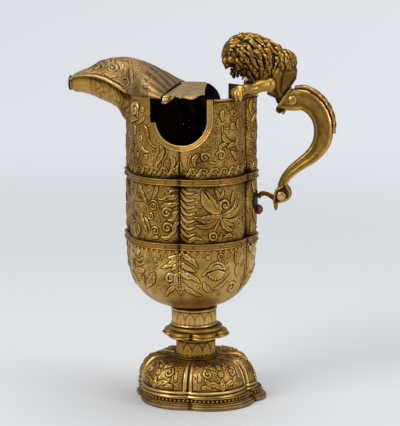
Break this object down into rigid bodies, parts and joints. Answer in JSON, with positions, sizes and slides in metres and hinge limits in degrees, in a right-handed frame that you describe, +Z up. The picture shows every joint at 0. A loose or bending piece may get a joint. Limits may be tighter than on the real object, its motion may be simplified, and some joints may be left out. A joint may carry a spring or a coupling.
{
  "type": "covered ewer with a lion handle",
  "caption": "Tall lobed metal ewer on a domed foot, with a covered spout, two side cut-outs and a scroll handle topped by a lion that looks over the rim.",
  "frame": {"origin": "the middle of the foot on the table it stands on, which is the middle of the whole ewer's box at its base", "axes": "+Z up, +X towards the handle, -X towards the spout, -Y the side with the torn cover"},
  "size_m": [0.2483, 0.1198, 0.3409],
  "materials": {
    "gilt_chased": "worn gilding over chased sheet, darker in the hollows",
    "gilt_bright": "rubbed bright gilding",
    "gilt_dark": "gilding worn thin, satin",
    "gilt_cast": "cast and gilt, dark in the hollows",
    "bronze_matte": "brown and satin, with little gilding left",
    "dark_patina": "dark brown patina",
    "iron": "dark iron"
  },
  "bodies": {
    "root": {"base_flange": "bronze_matte", "foot_gallery": "gilt_dark", "gallery_pearls": "gilt_bright", "foot_dome": "gilt_chased", "foot_collar": "gilt_dark", "lower_stem": "gilt_chased", "calyx_flange": "gilt_chased", "stem_ring": "gilt_dark", "upper_stem": "gilt_chased", "neck_washer": "dark_patina", "bowl": "gilt_chased", "lower_band": "gilt_dark", "lower_band_fringe": "gilt_bright", "lower_band_rivets": "dark_patina", "middle_drum": "gilt_chased", "upper_band": "gilt_dark", "upper_band_rivets": "dark_patina", "upper_drum": "gilt_chased", "rim_moulding": "gilt_dark", "near_cutout_moulding": "gilt_bright", "far_cutout_moulding": "gilt_bright", "spout_trough": "gilt_chased", "spout_hood": "bronze_matte", "cover_plate": "bronze_matte", "far_ear": "dark_patina", "spout_tip_ring": "bronze_matte", "handle_bar": "gilt_cast", "handle_leaf": "gilt_cast", "handle_collar": "gilt_bright", "handle_pin": "gilt_bright", "lower_scroll": "gilt_cast", "lower_roundels": "gilt_bright", "handle_tendril": "gilt_cast", "scroll_drop": "gilt_cast", "leaf_plate": "dark_patina", "leaf_berry": "dark_patina", "lion_torso": "gilt_cast", "lion_mane": "gilt_cast", "lion_head": "gilt_cast", "lion_jaw": "dark_patina", "lion_foreleg_near": "gilt_bright", "lion_foreleg_far": "gilt_bright", "tie_bolt": "iron", "bowl_disc": "gilt_dark", "foot_washer": "iron", "tie_nut": "iron"}
  },
  "joints": []
}
